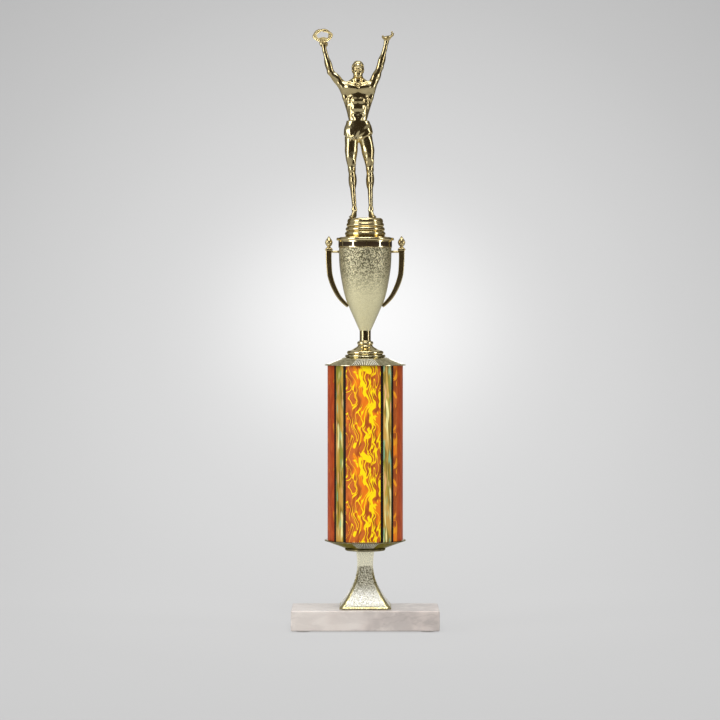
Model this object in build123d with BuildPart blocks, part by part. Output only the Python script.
"""A column trophy, stacked on one tie rod.

From the table up: felt feet, a marble base, a square flared riser, a foil-wrapped round column between two
caps, a two-handled cup with its foot and lid, and a victory figure on a round plinth, holding up a wreath.
A threaded rod runs from a nut in the marble's recess to a nut held in the plinth, and clamps the stack.

Units are millimetres. +Z is up, +X is the viewer's right, and the figure faces -Y.
The origin is the middle of the footprint, on the table.
"""

import math
import os

from build123d import *

os.makedirs("parts", exist_ok=True)

# ---------------------------------------------------------------- driving dimensions
BASE_WIDTH = 124.0  # a nominal 5 in block, cut a little under
BASE_DEPTH = 63.5
BASE_HEIGHT = 17.0
FELT_THICKNESS = 1.0
RISER_HEIGHT = 48.0
CAP_HEIGHT = 9.0
COLUMN_DIAMETER = 63.5
COLUMN_HEIGHT = 147.0
FOOT_HEIGHT = 20.3
BOWL_HEIGHT = 75.6
LID_THICKNESS = 2.4
PLINTH_HEIGHT = 16.6
ROD_DIAMETER = 6.35

# ---------------------------------------------------------------- heights of the stack
BASE_BOTTOM = FELT_THICKNESS
BASE_TOP = BASE_BOTTOM + BASE_HEIGHT
RISER_TOP = BASE_TOP + RISER_HEIGHT
COLUMN_BOTTOM = RISER_TOP + CAP_HEIGHT
COLUMN_TOP = COLUMN_BOTTOM + COLUMN_HEIGHT
CAP_TOP = COLUMN_TOP + CAP_HEIGHT
BOWL_BOTTOM = CAP_TOP + FOOT_HEIGHT
BOWL_TOP = BOWL_BOTTOM + BOWL_HEIGHT
LID_TOP = BOWL_TOP + LID_THICKNESS
PLINTH_TOP = LID_TOP + PLINTH_HEIGHT

# ---------------------------------------------------------------- shared sizes
BORE_RADIUS = 3.4  # rod clearance through every moulding
MARBLE_BORE_RADIUS = 4.0
THREAD_PITCH = 1.27
THREAD_DEPTH = 0.6
NUT_ACROSS_FLATS = 11.1
NUT_HEIGHT = 5.5
NUT_BORE_RADIUS = 3.2  # the nut's own thread is left as a close plain bore
WALL = 1.6
TUBE_WALL = 2.2
FILM_THICKNESS = 0.25
TAPE_THICKNESS = 0.1
COLUMN_RADIUS = COLUMN_DIAMETER / 2
TUBE_RADIUS = COLUMN_RADIUS - FILM_THICKNESS


def export(part, name):
    """Labels a finished piece and writes it as parts/NAME.step."""
    part.label = name
    export_step(part, f"parts/{name}.step")


def ring(inner, outer, bottom, height):
    """A plain ring about the trophy's axis."""
    with BuildPart() as made:
        with BuildSketch(Plane.XY.offset(bottom)):
            Circle(outer)
            Circle(inner, mode=Mode.SUBTRACT)
        extrude(amount=height)
    return made.part


# ---------------------------------------------------------------- felt feet
FELT_RADIUS = 6.0
FELT_INSET = 10.0

with BuildPart() as felt_feet:
    with BuildSketch():
        with GridLocations(BASE_WIDTH - 2 * FELT_INSET, BASE_DEPTH - 2 * FELT_INSET, 2, 2):
            Circle(FELT_RADIUS)
    extrude(amount=FELT_THICKNESS)
export(felt_feet.part, "felt_feet")

# ---------------------------------------------------------------- marble base
ARRIS = 0.8
RECESS_RADIUS = 16.0
RECESS_DEPTH = 9.0

with BuildPart() as marble_base:
    with BuildSketch(Plane.XY.offset(BASE_BOTTOM)):
        Rectangle(BASE_WIDTH, BASE_DEPTH)
    extrude(amount=BASE_HEIGHT)
    chamfer(marble_base.edges(), ARRIS)
    with Locations(Plane((0, 0, BASE_BOTTOM), x_dir=(1, 0, 0), z_dir=(0, 0, -1))):
        CounterBoreHole(MARBLE_BORE_RADIUS, RECESS_RADIUS, RECESS_DEPTH)
export(marble_base.part, "marble_base")

# ---------------------------------------------------------------- washers and nuts
WASHER_THICKNESS = 1.5
WASHER_RADIUS = 12.5
SPRING_RING_THICKNESS = 1.6
SPRING_RING_RADIUS = 5.9
SPRING_RING_GAP = 1.0
RECESS_CEILING = BASE_BOTTOM + RECESS_DEPTH
WASHER_BOTTOM = RECESS_CEILING - WASHER_THICKNESS
SPRING_RING_BOTTOM = WASHER_BOTTOM - SPRING_RING_THICKNESS
BASE_NUT_BOTTOM = SPRING_RING_BOTTOM - NUT_HEIGHT
FIGURE_NUT_BOTTOM = LID_TOP + 2.0

export(ring(BORE_RADIUS, WASHER_RADIUS, WASHER_BOTTOM, WASHER_THICKNESS), "base_washer")

with BuildPart() as lock_washer:
    with BuildSketch(Plane.XY.offset(SPRING_RING_BOTTOM)):
        Circle(SPRING_RING_RADIUS)
        Circle(BORE_RADIUS, mode=Mode.SUBTRACT)
        with Locations((SPRING_RING_RADIUS, 0)):
            Rectangle(2 * SPRING_RING_RADIUS, SPRING_RING_GAP, mode=Mode.SUBTRACT)
    extrude(amount=SPRING_RING_THICKNESS)
export(lock_washer.part, "lock_washer")


def hex_nut(bottom):
    """A hexagon nut whose corners are turned off at both faces."""
    corner = NUT_ACROSS_FLATS / math.sqrt(3)
    turned = NUT_ACROSS_FLATS / 2
    bevel = (corner - turned) * 0.6
    with BuildPart() as made:
        with BuildSketch(Plane.XY.offset(bottom)):
            RegularPolygon(turned, 6, major_radius=False)
            Circle(NUT_BORE_RADIUS, mode=Mode.SUBTRACT)
        extrude(amount=NUT_HEIGHT)
        with BuildSketch(Plane.XZ):
            with BuildLine():
                Polyline(
                    (NUT_BORE_RADIUS - 1, bottom),
                    (turned, bottom),
                    (corner + 0.1, bottom + bevel),
                    (corner + 0.1, bottom + NUT_HEIGHT - bevel),
                    (turned, bottom + NUT_HEIGHT),
                    (NUT_BORE_RADIUS - 1, bottom + NUT_HEIGHT),
                    close=True,
                )
            make_face()
        revolve(axis=Axis.Z, mode=Mode.INTERSECT)
    return made.part


export(hex_nut(BASE_NUT_BOTTOM), "base_nut")
export(hex_nut(FIGURE_NUT_BOTTOM), "figure_nut")

# ---------------------------------------------------------------- tie rod, threaded at both ends
ROD_RADIUS = ROD_DIAMETER / 2
ROD_BOTTOM = BASE_NUT_BOTTOM - 0.2
ROD_TOP = FIGURE_NUT_BOTTOM + NUT_HEIGHT + 1.5
LOWER_TURNS = 16
UPPER_TURNS = 11


def thread_points(start, turns):
    """The saw-tooth outline of a thread, as crests and roots going up from start."""
    points = []
    for turn in range(turns):
        foot = start + turn * THREAD_PITCH
        points.append((ROD_RADIUS, foot))
        points.append((ROD_RADIUS - THREAD_DEPTH, foot + THREAD_PITCH / 2))
    points.append((ROD_RADIUS, start + turns * THREAD_PITCH))
    return points


LEAD_IN = 0.7
UPPER_THREAD_START = ROD_TOP - LEAD_IN - UPPER_TURNS * THREAD_PITCH

with BuildPart() as tie_rod:
    with BuildSketch(Plane.XZ):
        with BuildLine():
            Polyline(
                (0, ROD_BOTTOM),
                (ROD_RADIUS - LEAD_IN, ROD_BOTTOM),
                *thread_points(ROD_BOTTOM + LEAD_IN, LOWER_TURNS),
                *thread_points(UPPER_THREAD_START, UPPER_TURNS),
                (ROD_RADIUS - LEAD_IN, ROD_TOP),
                (0, ROD_TOP),
                close=True,
            )
        make_face()
    revolve(axis=Axis.Z)
export(tie_rod.part, "tie_rod")

# ---------------------------------------------------------------- riser
# Half widths of the square flare at heights above the marble. The corners are cut by a fixed share.
RISER_FLARE = [
    (1.3, 21.3),
    (6.3, 17.6),
    (11.4, 14.4),
    (17.3, 11.1),
    (23.0, 8.7),
    (30.0, 7.1),
    (38.0, 6.6),
    (RISER_HEIGHT, 7.5),
]
RISER_LIP = 21.7
CORNER_SHARE = 0.06


def cut_square(half):
    """The corners of a square of that half width with its four corners cut off."""
    cut = half * (1 - 2 * CORNER_SHARE)
    return [
        (half, -cut), (half, cut), (cut, half), (-cut, half),
        (-half, cut), (-half, -cut), (-cut, -half), (cut, -half),
    ]  # fmt: skip


with BuildPart() as riser:
    with BuildSketch(Plane.XY.offset(BASE_TOP)):
        Polygon(*cut_square(RISER_LIP), align=None)
    extrude(amount=RISER_FLARE[0][0])
    for height, half in RISER_FLARE:
        with BuildSketch(Plane.XY.offset(BASE_TOP + height)):
            Polygon(*cut_square(half), align=None)
    loft()
    with BuildSketch(Plane.XY.offset(BASE_TOP)):
        Polygon(*cut_square(RISER_LIP - WALL), align=None)
    extrude(amount=RISER_FLARE[0][0], mode=Mode.SUBTRACT)
    for height, half in RISER_FLARE[:-1]:
        with BuildSketch(Plane.XY.offset(BASE_TOP + height)):
            Polygon(*cut_square(half - WALL), align=None)
    loft(mode=Mode.SUBTRACT)
    with Locations((0, 0, RISER_TOP)):
        Hole(BORE_RADIUS)
export(riser.part, "riser")

# ---------------------------------------------------------------- column caps
FLANGE_RADIUS = 34.2
FLANGE_EDGE = 0.6
CONE_TOP_RADIUS = 18.0
CONE_HEIGHT = 6.6
BEAD_RADIUS = 17.2
COLLAR_LENGTH = 6.0
COLLAR_RADIUS = TUBE_RADIUS - TUBE_WALL - 0.1
FLUTE_INNER = 20.5
FLUTE_OUTER = 32.6
FLUTE_DEPTH = 0.45
FLUTE_PITCH_DEG = 3.0
FLUTES_PER_FAN = 13
FANS = 4


CONE_SLOPE = math.atan2(CONE_HEIGHT - FLANGE_EDGE, FLANGE_RADIUS - CONE_TOP_RADIUS)
flute_middle = (FLUTE_INNER + FLUTE_OUTER) / 2
flute_height = FLANGE_EDGE + (FLANGE_RADIUS - flute_middle) * math.tan(CONE_SLOPE)
flute_length = (FLUTE_OUTER - FLUTE_INNER) / math.cos(CONE_SLOPE)
flute_half_width = math.radians(FLUTE_PITCH_DEG) * FLUTE_INNER * 0.42
down_the_cone = (math.cos(CONE_SLOPE), 0, -math.sin(CONE_SLOPE))

with BuildPart() as flute:
    with BuildSketch(Plane((flute_middle, 0, flute_height), x_dir=(0, 1, 0), z_dir=down_the_cone)):
        Polygon((-flute_half_width, 0.2), (flute_half_width, 0.2), (0, -FLUTE_DEPTH), align=None)
    extrude(amount=flute_length / 2, both=True)

# The cap in its own frame: the flange's flat underside at z = 0, the column below it, the cone above.
with BuildPart() as cap:
    with BuildSketch(Plane.XZ):
        with BuildLine():
            Polyline(
                (COLLAR_RADIUS - WALL, 0),
                (COLLAR_RADIUS - WALL, -COLLAR_LENGTH),
                (COLLAR_RADIUS, -COLLAR_LENGTH),
                (COLLAR_RADIUS, 0),
                (FLANGE_RADIUS, 0),
                (FLANGE_RADIUS, FLANGE_EDGE),
                (CONE_TOP_RADIUS, CONE_HEIGHT),
                (BEAD_RADIUS - 1.1, CONE_HEIGHT + 0.3),
            )
            ThreePointArc(
                (BEAD_RADIUS - 1.1, CONE_HEIGHT + 0.3),
                (BEAD_RADIUS, (CONE_HEIGHT + 0.3 + CAP_HEIGHT) / 2),
                (BEAD_RADIUS - 1.1, CAP_HEIGHT),
            )
            Polyline(
                (BEAD_RADIUS - 1.1, CAP_HEIGHT),
                (BORE_RADIUS, CAP_HEIGHT),
                (BORE_RADIUS, CAP_HEIGHT - WALL),
                (BEAD_RADIUS - 3.2, CAP_HEIGHT - WALL),
                (COLLAR_RADIUS - WALL, 0),
            )
        make_face()
    revolve(axis=Axis.Z)
    fan_sweep = (FLUTES_PER_FAN - 1) * FLUTE_PITCH_DEG
    for fan in range(FANS):
        start = fan * 360 / FANS - fan_sweep / 2
        with PolarLocations(0, FLUTES_PER_FAN, start_angle=start, angular_range=fan_sweep, endpoint=True):
            add(flute.part, mode=Mode.SUBTRACT)

export(cap.part.moved(Location((0, 0, COLUMN_TOP))), "column_cap_upper")
export(mirror(cap.part, about=Plane.XY).moved(Location((0, 0, COLUMN_BOTTOM))), "column_cap_lower")

# ---------------------------------------------------------------- column: tube, film and tapes
SEAM_GAP_DEG = 0.8
SEAM_AT_DEG = 90.0  # the film's edges meet at the back
PERIOD_DEG = 78.2  # from one prismatic tape to the next
TAPE_WIDTH_DEG = 14.6
LINE_WIDTH_DEG = 4.7
FIRST_TAPE_DEG = -90 - 120.8
TAPES = 4

export(ring(TUBE_RADIUS - TUBE_WALL, TUBE_RADIUS, COLUMN_BOTTOM, COLUMN_HEIGHT), "column_tube")


def wrapped(inner, thickness, start_deg, sweep_deg):
    """A thin skin on the column, from start_deg through sweep_deg about the axis, the column's full height."""
    with BuildPart() as made:
        with BuildSketch(Plane.XZ.rotated((0, 0, start_deg))):
            with Locations((inner + thickness / 2, (COLUMN_BOTTOM + COLUMN_TOP) / 2)):
                Rectangle(thickness, COLUMN_HEIGHT)
        revolve(axis=Axis.Z, revolution_arc=sweep_deg)
    return made.part


export(
    wrapped(TUBE_RADIUS, FILM_THICKNESS, SEAM_AT_DEG + SEAM_GAP_DEG / 2, 360 - SEAM_GAP_DEG), "column_film"
)

tape_solids = []
line_solids = []
for number in range(TAPES):
    centre = FIRST_TAPE_DEG + number * PERIOD_DEG
    left = centre - TAPE_WIDTH_DEG / 2
    right = centre + TAPE_WIDTH_DEG / 2
    tape_solids += wrapped(COLUMN_RADIUS, TAPE_THICKNESS, left, TAPE_WIDTH_DEG).solids()
    line_solids += wrapped(COLUMN_RADIUS, TAPE_THICKNESS, left - LINE_WIDTH_DEG, LINE_WIDTH_DEG).solids()
    line_solids += wrapped(COLUMN_RADIUS, TAPE_THICKNESS, right, LINE_WIDTH_DEG).solids()
export(Compound(children=tape_solids), "prism_tapes")
export(Compound(children=line_solids), "pinstripes")

# ---------------------------------------------------------------- cup foot and stem
STEM_RADIUS = 4.7

with BuildPart() as cup_foot:
    with BuildSketch(Plane.XZ):
        with BuildLine():
            Polyline((BORE_RADIUS, CAP_TOP), (14.2, CAP_TOP))
            ThreePointArc((14.2, CAP_TOP), (15.4, CAP_TOP + 1.7), (14.0, CAP_TOP + 3.4))
            Polyline((14.0, CAP_TOP + 3.4), (12.2, CAP_TOP + 3.8))
            Spline(
                (12.2, CAP_TOP + 3.8),
                (8.8, CAP_TOP + 5.6),
                (6.0, CAP_TOP + 8.2),
                tangents=((-1, 0.3), (-0.3, 1)),
            )
            ThreePointArc((6.0, CAP_TOP + 8.2), (6.8, CAP_TOP + 9.7), (6.0, CAP_TOP + 11.2))
            Spline(
                (6.0, CAP_TOP + 11.2),
                (STEM_RADIUS, CAP_TOP + 12.6),
                tangents=((-1, 0.2), (0, 1)),
            )
            Polyline(
                (STEM_RADIUS, CAP_TOP + 12.6),
                (STEM_RADIUS, BOWL_BOTTOM),
                (BORE_RADIUS, BOWL_BOTTOM),
                (BORE_RADIUS, CAP_TOP),
            )
        make_face()
    revolve(axis=Axis.Z)
export(cup_foot.part, "cup_foot")

# ---------------------------------------------------------------- bowl
RIM_RADIUS = 22.1
BOWL_WALL = 1.5
BAND_HEIGHT = 5.8
BAND_BOTTOM = BOWL_TOP - BAND_HEIGHT
CONE_JOIN_RADIUS = 14.2
CONE_JOIN_HEIGHT = 21.0
FLOOR_HEIGHT = 11.0
BAND_PANELS = 12
PANEL_DEPTH = 0.5
MULLION_WIDTH = 1.2
PEG_RADIUS = 0.95
PEG_HEIGHT = BOWL_TOP - 9.3


def bowl_outline(inset):
    """The bowl's side from the band down to where the lower cone begins, moved in by inset."""
    return [
        (RIM_RADIUS - inset, BAND_BOTTOM),
        (RIM_RADIUS - 0.4 - inset, BOWL_BOTTOM + 55.0),
        (19.9 - inset, BOWL_BOTTOM + 42.0),
        (CONE_JOIN_RADIUS - inset, BOWL_BOTTOM + CONE_JOIN_HEIGHT),
    ]


with BuildPart() as cup_bowl:
    with BuildSketch(Plane.XZ):
        with BuildLine():
            Polyline(
                (0, BOWL_TOP),
                (RIM_RADIUS + 0.5, BOWL_TOP),
                (RIM_RADIUS + 0.5, BOWL_TOP - 0.9),
                (RIM_RADIUS + 0.5 - PANEL_DEPTH, BOWL_TOP - 0.9),
                (RIM_RADIUS + 0.5 - PANEL_DEPTH, BAND_BOTTOM + 0.9),
                (RIM_RADIUS + 0.5, BAND_BOTTOM + 0.9),
                (RIM_RADIUS + 0.5, BAND_BOTTOM),
                (RIM_RADIUS, BAND_BOTTOM),
            )
            Spline(*bowl_outline(0), tangents=((0, -1), (-0.45, -1)))
            Polyline(
                bowl_outline(0)[-1],
                (STEM_RADIUS + 0.1, BOWL_BOTTOM),
                (0, BOWL_BOTTOM),
                (0, BOWL_TOP),
            )
        make_face()
    revolve(axis=Axis.Z)
    bowl_solid = cup_bowl.part
    with PolarLocations(RIM_RADIUS + 0.5 - PANEL_DEPTH, BAND_PANELS, start_angle=-90 + 3):
        with Locations((0, 0, BAND_BOTTOM + BAND_HEIGHT / 2)):
            Box(2 * PANEL_DEPTH - 0.04, MULLION_WIDTH, BAND_HEIGHT - 1.8)
    with BuildSketch(Plane.XZ):
        with BuildLine():
            inner_side = bowl_outline(BOWL_WALL)
            Polyline((0, BOWL_TOP), (RIM_RADIUS - BOWL_WALL, BOWL_TOP), inner_side[0])
            Spline(*inner_side, tangents=((0, -1), (-0.45, -1)))
            Polyline(
                inner_side[-1],
                (8.2, BOWL_BOTTOM + FLOOR_HEIGHT),
                (0, BOWL_BOTTOM + FLOOR_HEIGHT),
                (0, BOWL_TOP),
            )
        make_face()
    revolve(axis=Axis.Z, mode=Mode.SUBTRACT)
    with Locations((0, 0, BOWL_BOTTOM + FLOOR_HEIGHT)):
        Hole(BORE_RADIUS)
    with Locations(Plane((0, 0, PEG_HEIGHT), x_dir=(0, 1, 0), z_dir=(1, 0, 0))):
        Cylinder(PEG_RADIUS + 0.03, 4 * RIM_RADIUS, mode=Mode.SUBTRACT)
export(cup_bowl.part, "cup_bowl")

# ---------------------------------------------------------------- cup lid
LID_RADIUS = 24.3
SPIGOT_RADIUS = RIM_RADIUS - BOWL_WALL - 0.15
SPIGOT_DEPTH = 4.0

with BuildPart() as cup_lid:
    with BuildSketch(Plane.XZ):
        with BuildLine():
            Polyline(
                (BORE_RADIUS, LID_TOP),
                (BORE_RADIUS, BOWL_TOP),
                (SPIGOT_RADIUS - WALL, BOWL_TOP),
                (SPIGOT_RADIUS - WALL, BOWL_TOP - SPIGOT_DEPTH),
                (SPIGOT_RADIUS, BOWL_TOP - SPIGOT_DEPTH),
                (SPIGOT_RADIUS, BOWL_TOP),
                (LID_RADIUS - 0.5, BOWL_TOP),
            )
            ThreePointArc(
                (LID_RADIUS - 0.5, BOWL_TOP), (LID_RADIUS, BOWL_TOP + LID_THICKNESS / 2), (LID_RADIUS - 0.5, LID_TOP)
            )
            Line((LID_RADIUS - 0.5, LID_TOP), (BORE_RADIUS, LID_TOP))
        make_face()
    revolve(axis=Axis.Z)
export(cup_lid.part, "cup_lid")

# ---------------------------------------------------------------- handles
# Centre line of the left handle's bar from under its finial to the bowl, with the bar's width in the
# handle's plane and its thickness across it.
HANDLE_PATH = [
    (-30.6, BOWL_TOP - 8.0, 5.0, 3.6),
    (-30.7, BOWL_TOP - 18.0, 4.8, 3.6),
    (-29.9, BOWL_TOP - 27.5, 4.5, 3.5),
    (-28.0, BOWL_TOP - 35.0, 4.4, 3.4),
    (-25.0, BOWL_TOP - 42.0, 4.2, 3.3),
    (-21.4, BOWL_TOP - 48.0, 3.8, 3.1),
    (-16.2, BOWL_TOP - 53.6, 3.2, 2.9),
]
LEDGE_WIDTH = 6.4
LEDGE_HEIGHT = 1.5
FINIAL_HEIGHT = 10.8
FINIAL_RADIUS = 3.2


def handle_sections():
    """A plane square to the path at each of its points, with that point's bar width and thickness."""
    sections = []
    for index, (x, z, width, thick) in enumerate(HANDLE_PATH):
        before = HANDLE_PATH[max(index - 1, 0)]
        after = HANDLE_PATH[min(index + 1, len(HANDLE_PATH) - 1)]
        along = Vector(after[0] - before[0], 0, after[1] - before[1])
        if index == 0:
            along = Vector(0, 0, -1)
        sections.append((Plane((x, 0, z), x_dir=(0, 1, 0), z_dir=along.normalized()), width, thick))
    return sections


ledge_x = HANDLE_PATH[0][0]
ledge_z = HANDLE_PATH[0][1]

with BuildPart() as bar:
    for plane, width, thick in handle_sections():
        with BuildSketch(plane):
            RectangleRounded(thick, width, 0.9)
    loft()
    with BuildSketch(Plane.XY.offset(ledge_z)):
        with Locations((ledge_x, 0)):
            RectangleRounded(LEDGE_WIDTH, 4.6, 1.2)
    extrude(amount=LEDGE_HEIGHT)
    finial_foot = ledge_z + LEDGE_HEIGHT
    with BuildSketch(Plane((ledge_x, 0, 0), x_dir=(1, 0, 0), z_dir=(0, -1, 0))):
        with BuildLine():
            Line((0, finial_foot - 0.5), (2.5, finial_foot - 0.5))
            Line((2.5, finial_foot - 0.5), (2.5, finial_foot + 0.6))
            Line((2.5, finial_foot + 0.6), (1.6, finial_foot + 1.6))
            Spline(
                (1.6, finial_foot + 1.6),
                (FINIAL_RADIUS, finial_foot + 5.0),
                (1.7, finial_foot + 8.6),
                (0, finial_foot + FINIAL_HEIGHT),
            )
            Line((0, finial_foot + FINIAL_HEIGHT), (0, finial_foot - 0.5))
        make_face()
    revolve(axis=Axis((ledge_x, 0, 0), (0, 0, 1)))

with BuildPart() as peg:
    with Locations(Plane((ledge_x, 0, PEG_HEIGHT), x_dir=(0, 1, 0), z_dir=(1, 0, 0))):
        Cylinder(PEG_RADIUS, -(RIM_RADIUS - BOWL_WALL) - ledge_x, align=(Align.CENTER, Align.CENTER, Align.MIN))

with BuildPart() as handle_left:
    add(bar.part)
    add(bowl_solid, mode=Mode.SUBTRACT)
    add(peg.part)
export(handle_left.part, "handle_left")

with BuildPart() as handle_right:
    add(mirror(bar.part, about=Plane.YZ, mode=Mode.PRIVATE))
    add(bowl_solid, mode=Mode.SUBTRACT)
    add(mirror(peg.part, about=Plane.YZ, mode=Mode.PRIVATE))
export(handle_right.part, "handle_right")

# ---------------------------------------------------------------- figure plinth
PLINTH_FLARE_RADIUS = 21.5
PLINTH_BEADS = [(17.1, 3.4), (16.5, 7.2), (15.8, 10.9)]  # radius and height of each bead's crest
BEAD_HALF = 1.75
PLINTH_BEAD_TOP = 12.7
PLINTH_SHOULDER_RADIUS = 14.9
PLINTH_FLAT_RADIUS = 13.4
PLINTH_DECK = 2.4

with BuildPart() as figure_plinth:
    with BuildSketch(Plane.XZ):
        with BuildLine():
            Polyline((BORE_RADIUS, LID_TOP), (PLINTH_FLARE_RADIUS, LID_TOP), (PLINTH_FLARE_RADIUS, LID_TOP + 0.5))
            ThreePointArc(
                (PLINTH_FLARE_RADIUS, LID_TOP + 0.5),
                (18.0, LID_TOP + 0.9),
                (PLINTH_BEADS[0][0] - 0.9, LID_TOP + PLINTH_BEADS[0][1] - BEAD_HALF),
            )
            for crest, height in PLINTH_BEADS:
                low = (crest - 0.9, LID_TOP + height - BEAD_HALF)
                high = (crest - 0.9, LID_TOP + height + BEAD_HALF)
                ThreePointArc(low, (crest, LID_TOP + height), high)
                if height < PLINTH_BEADS[-1][1]:
                    above, next_height = PLINTH_BEADS[PLINTH_BEADS.index((crest, height)) + 1]
                    Line(high, (above - 0.9, LID_TOP + next_height - BEAD_HALF))
            Line(
                (PLINTH_BEADS[-1][0] - 0.9, LID_TOP + PLINTH_BEADS[-1][1] + BEAD_HALF),
                (PLINTH_SHOULDER_RADIUS, LID_TOP + PLINTH_BEAD_TOP + 0.4),
            )
            ThreePointArc(
                (PLINTH_SHOULDER_RADIUS, LID_TOP + PLINTH_BEAD_TOP + 0.4),
                (PLINTH_SHOULDER_RADIUS - 0.35, PLINTH_TOP - 1.0),
                (PLINTH_FLAT_RADIUS, PLINTH_TOP),
            )
            Polyline((PLINTH_FLAT_RADIUS, PLINTH_TOP), (0, PLINTH_TOP), (0, PLINTH_TOP - PLINTH_DECK))
            Polyline(
                (0, PLINTH_TOP - PLINTH_DECK),
                (BORE_RADIUS, PLINTH_TOP - PLINTH_DECK),
                (BORE_RADIUS, LID_TOP),
            )
        make_face()
    revolve(axis=Axis.Z)
    with BuildSketch(Plane.XY.offset(LID_TOP)):
        Circle(PLINTH_FLAT_RADIUS)
        Circle(8.6, mode=Mode.SUBTRACT)
    extrude(amount=PLINTH_HEIGHT - PLINTH_DECK, mode=Mode.SUBTRACT)
    # The nut is moulded in: its pocket has plastic both above it and below it.
    with BuildSketch(Plane.XY.offset(FIGURE_NUT_BOTTOM)):
        RegularPolygon(NUT_ACROSS_FLATS / 2 + 0.05, 6, major_radius=False)
    extrude(amount=NUT_HEIGHT, mode=Mode.SUBTRACT)
export(figure_plinth.part, "figure_plinth")

# ---------------------------------------------------------------- victory figure
# A standing athlete with both arms raised. Each limb is a chain of round sections: x, y, z, radius.
SOLE = PLINTH_TOP

TORSO = [  # x, z above the sole, half width, half depth
    (-5.7, 57.5, 10.2, 5.6),
    (-5.9, 64.0, 12.0, 6.6),
    (-5.9, 71.0, 12.0, 6.9),
    (-6.2, 78.5, 10.2, 5.7),
    (-6.5, 86.0, 8.9, 5.2),
    (-6.4, 94.0, 10.8, 6.0),
    (-6.2, 103.0, 12.2, 6.8),
    (-6.1, 109.5, 11.4, 5.8),
    (-6.1, 114.0, 6.0, 4.4),
]
LEFT_LEG = [
    (-11.6, 0.2, 62.0, 6.3),
    (-12.2, -0.2, 50.0, 5.5),
    (-11.8, -0.6, 39.8, 4.1),
    (-11.3, 0.5, 29.5, 4.0),
    (-10.2, 0.7, 18.5, 2.8),
    (-9.6, 0.6, 10.0, 2.3),
    (-9.7, 0.7, 2.6, 2.4),
]
RIGHT_LEG = [
    (0.2, 0.0, 62.0, 6.4),
    (2.0, -0.6, 50.0, 5.4),
    (3.2, -1.0, 39.8, 4.2),
    (3.8, 0.2, 29.5, 4.1),
    (3.9, 0.6, 18.5, 2.8),
    (4.1, 0.8, 10.0, 2.3),
    (4.2, 0.9, 2.6, 2.4),
]
LEFT_ARM = [
    (-14.5, 0.4, 104.0, 4.6),
    (-17.6, 0.2, 110.0, 4.3),
    (-23.4, 0.0, 116.6, 4.0),
    (-29.2, 0.2, 123.2, 3.3),
    (-31.6, 0.0, 130.5, 3.5),
    (-33.8, -0.6, 138.5, 2.4),
    (-34.6, -1.0, 143.5, 2.1),
]
RIGHT_ARM = [
    (2.6, 0.4, 104.0, 4.6),
    (5.2, 0.2, 110.0, 4.3),
    (8.6, 0.0, 117.6, 4.1),
    (12.2, 0.2, 125.6, 3.4),
    (13.8, 0.0, 131.5, 3.5),
    (16.0, -0.6, 140.0, 2.4),
    (16.9, -1.0, 144.5, 2.1),
]
HEAD_CENTRE = (-6.1, -1.4, SOLE + 124.9)
HEAD_SIZE = (5.2, 6.1, 7.6)
LEFT_HAND_CENTRE = (-34.9, -1.4, SOLE + 147.2)
RIGHT_HAND_CENTRE = (18.3, -1.8, SOLE + 149.0)
NECK_RADIUS = 3.6
NECK_LENGTH = 12.0
NECK_FOOT = (-6.1, 0.2, SOLE + 115.0)


def ellipsoid(centre, size):
    """A solid ellipsoid with those half sizes."""
    with BuildPart() as made:
        Sphere(1)
        scale(by=size)
    return made.part.moved(Location(centre))


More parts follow.
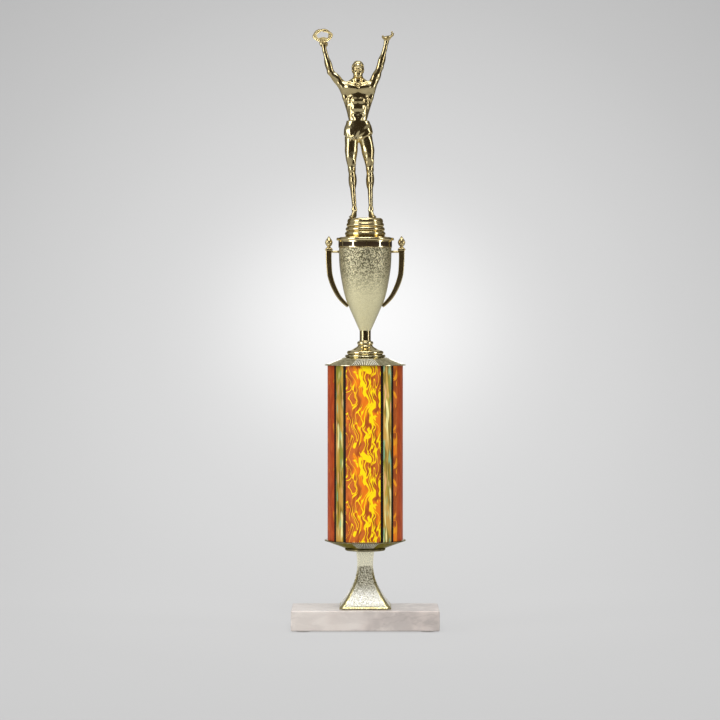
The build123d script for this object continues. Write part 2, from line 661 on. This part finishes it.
def limb(chain):
    """A smooth limb through a chain of round sections, each square to the chain there, with domed ends."""
    points = [Vector(x, y, SOLE + z) for x, y, z, _ in chain]
    with BuildPart() as made:
        for index, point in enumerate(points):
            before = points[max(index - 1, 0)]
            after = points[min(index + 1, len(points) - 1)]
            with BuildSketch(Plane(point, x_dir=(0, 1, 0), z_dir=(after - before).normalized())):
                Circle(chain[index][3])
        loft()
        for index in (0, -1):
            with Locations(points[index]):
                Sphere(chain[index][3] * 0.999)
    return made.part


def foot(ankle, toe, heel_radius):
    """A foot from under the ankle out to its toes, flat on the sole plane."""
    reach = Vector(toe[0] - ankle[0], toe[1] - ankle[1], 0)
    yaw = math.degrees(math.atan2(reach.Y, reach.X))
    middle = ((ankle[0] + toe[0]) / 2, (ankle[1] + toe[1]) / 2)
    with BuildPart() as made:
        Sphere(1)
        scale(by=(reach.length / 2 + heel_radius, 2.4, 2.6))
        with Locations((0, 0, -1.2)):
            Box(40, 40, 10, align=(Align.CENTER, Align.CENTER, Align.MIN), mode=Mode.INTERSECT)
    return made.part.moved(Location((middle[0], middle[1], SOLE + 1.2), (0, 0, yaw)))


members = [limb(chain) for chain in (LEFT_LEG, RIGHT_LEG, LEFT_ARM, RIGHT_ARM)]
members.append(foot((-9.8, 1.2), (-12.0, -6.6), 2.2))
members.append(foot((4.3, 1.4), (7.0, -6.4), 2.2))
members.append(ellipsoid(HEAD_CENTRE, HEAD_SIZE))
members.append(ellipsoid(LEFT_HAND_CENTRE, (2.6, 2.8, 3.6)))
members.append(ellipsoid(RIGHT_HAND_CENTRE, (3.0, 2.4, 4.4)))

with BuildPart() as figure:
    for x, z, half_width, half_depth in TORSO:
        with BuildSketch(Plane((x, 0, SOLE + z))):
            Ellipse(half_width, half_depth)
    loft()
    with Locations((NECK_FOOT[0], NECK_FOOT[1], NECK_FOOT[2])):
        Cylinder(NECK_RADIUS, NECK_LENGTH)
    for member in members:
        add(member)
export(figure.part, "figure")

# ---------------------------------------------------------------- wreath
WREATH_CENTRE = (-35.8, 3.4, SOLE + 153.8)
WREATH_RADIUS = 7.2
WREATH_THICKNESS = 1.25
WREATH_TILT_DEG = 43.0  # its top leans back from upright

with BuildPart() as wreath:
    with Locations(Location(WREATH_CENTRE, (90 - WREATH_TILT_DEG, 0, 0))):
        Torus(WREATH_RADIUS, WREATH_THICKNESS)
    add(figure.part, mode=Mode.SUBTRACT)
export(wreath.part, "wreath")
